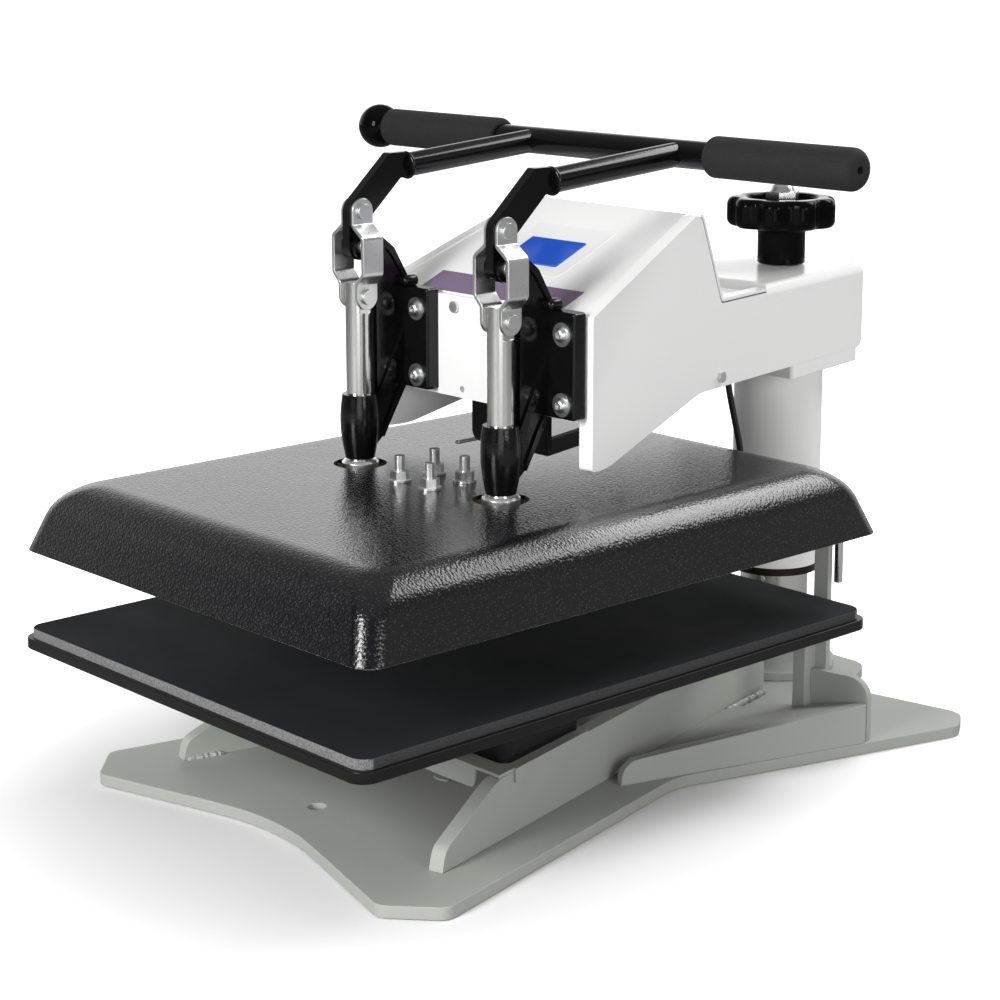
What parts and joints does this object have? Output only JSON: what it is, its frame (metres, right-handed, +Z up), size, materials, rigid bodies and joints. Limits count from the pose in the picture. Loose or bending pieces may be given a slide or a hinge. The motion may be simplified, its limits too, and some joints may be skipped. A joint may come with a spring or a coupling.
{
  "type": "swing-away heat press",
  "caption": "Bench heat press with a swinging heated platen, a toggle linkage worked by a pull handle, a height knob on a ground post and a padded table.",
  "frame": {"origin": "on the underside of the base plate, below the middle of the soft pad", "axes": "+X to the right seen from the user's side, +Y to the post at the back, +Z up"},
  "size_m": [0.5575, 0.7, 0.5035],
  "materials": {
    "base_paint": "light grey-green gloss paint",
    "arm_paint": "gloss white paint",
    "black_paint": "semi-gloss black paint",
    "black_casting": "gloss black paint over casting",
    "ground_steel": "ground bright steel",
    "zinc": "bright zinc plate",
    "bronze": "bearing bronze",
    "black_plastic": "gloss black plastic",
    "matte_black": "matte black plastic",
    "foam": "matte black foam",
    "silicone": "matte silicone sponge",
    "platen_metal": "cast aluminium",
    "cover_paint": "black pebbled coat",
    "blanket": "ceramic fibre blanket",
    "board_green": "circuit board laminate",
    "display_blue": "plain blue display",
    "lead_sheath": "black silicone sheath"
  },
  "bodies": {
    "base": {"base_plate": "base_paint", "rib_left": "base_paint", "rib_right": "base_paint", "cross_bracket": "base_paint", "table_pedestal": "black_paint", "table_plate": "black_paint", "table_pad": "silicone", "table_bolts": "zinc", "deck_left": "base_paint", "deck_right": "base_paint", "gusset_wall_left": "base_paint", "gusset_wall_right": "base_paint", "rear_wall_left": "base_paint", "rear_wall_right": "base_paint", "stop_post": "base_paint", "stop_post_brace": "base_paint", "post_socket": "black_paint", "post_shaft": "ground_steel"},
    "carriage": {"thrust_bearing": "zinc"},
    "knob": {"lobed_knob": "black_plastic", "knob_dome_nut": "zinc", "lift_spindle": "zinc"},
    "head": {"swing_sleeve": "arm_paint", "sleeve_bushes": "bronze", "saddle_plate": "arm_paint", "arm_side_left": "arm_paint", "arm_side_right": "arm_paint", "rear_box": "arm_paint", "front_plate": "arm_paint", "console_cover": "arm_paint", "display_window": "display_blue", "control_board": "board_green", "arm_screws": "zinc", "lower_bracket": "black_paint", "power_inlet": "matte_black", "toggle_body_left": "black_casting", "toggle_body_right": "black_casting", "toggle_bolts": "zinc", "pivot_pins": "zinc"},
    "rocker": {"power_rocker": "matte_black"},
    "handle": {"lever_left": "black_paint", "lever_right": "black_paint", "handle_crossbar": "black_paint", "grip_left": "foam", "grip_right": "foam", "handle_ball": "black_plastic"},
    "link_left": {"link_plates_left": "zinc", "link_rivets_left": "zinc"},
    "link_right": {"link_plates_right": "zinc", "link_rivets_right": "zinc"},
    "platen": {"plunger_left": "ground_steel", "plunger_right": "ground_steel", "plunger_feet": "zinc", "heat_platen": "platen_metal", "heating_element": "zinc", "insulation_blanket": "blanket", "platen_cover": "cover_paint", "cover_studs": "zinc", "swing_stop_rod": "ground_steel", "heater_lead": "lead_sheath"}
  },
  "joints": [
    {"name": "head_lift", "type": "slide", "parent": "base", "child": "carriage", "axis": [0, 0, 1], "range_m": [-0.0045, 0.01]},
    {"name": "head_swing", "type": "hinge", "parent": "carriage", "child": "head", "pos_m": [0, 0.3824, 0.29], "axis": [0, 0, 1], "range_deg": [0, 110]},
    {"name": "knob_spin", "type": "hinge", "parent": "carriage", "child": "knob", "pos_m": [0, 0.3824, 0.41], "axis": [0, 0, 1], "range_deg": [-648, 1440]},
    {"name": "handle_pull", "type": "hinge", "parent": "head", "child": "handle", "pos_m": [0, -0.022, 0.4143], "axis": [1, 0, 0], "range_deg": [0, 176]},
    {"name": "link_turn_left", "type": "hinge", "parent": "handle", "child": "link_left", "pos_m": [-0.082, -0.022, 0.4413], "axis": [1, 0, 0], "range_deg": [-174.8, 0]},
    {"name": "link_turn_right", "type": "hinge", "parent": "handle", "child": "link_right", "pos_m": [0.082, -0.022, 0.4413], "axis": [1, 0, 0], "range_deg": [-174.8, 0]},
    {"name": "platen_press", "type": "slide", "parent": "head", "child": "platen", "axis": [0, 0, -1], "range_m": [0, 0.054], "deforming": ["heater_lead"]},
    {"name": "rocker_tilt", "type": "hinge", "parent": "head", "child": "rocker", "pos_m": [0.02, 0.436, 0.326], "axis": [1, 0, 0], "range_deg": [-6, 6]}
  ],
  "couplings": [
    {"joint": "knob_spin", "follows": "head_lift", "rad_per_m": 2513.3},
    {"joint": "link_turn_left", "follows": "handle_pull", "ratio": -0.99072},
    {"joint": "link_turn_right", "follows": "handle_pull", "ratio": -0.99072},
    {"joint": "platen_press", "follows": "handle_pull", "m_per_rad": 0.01755}
  ]
}
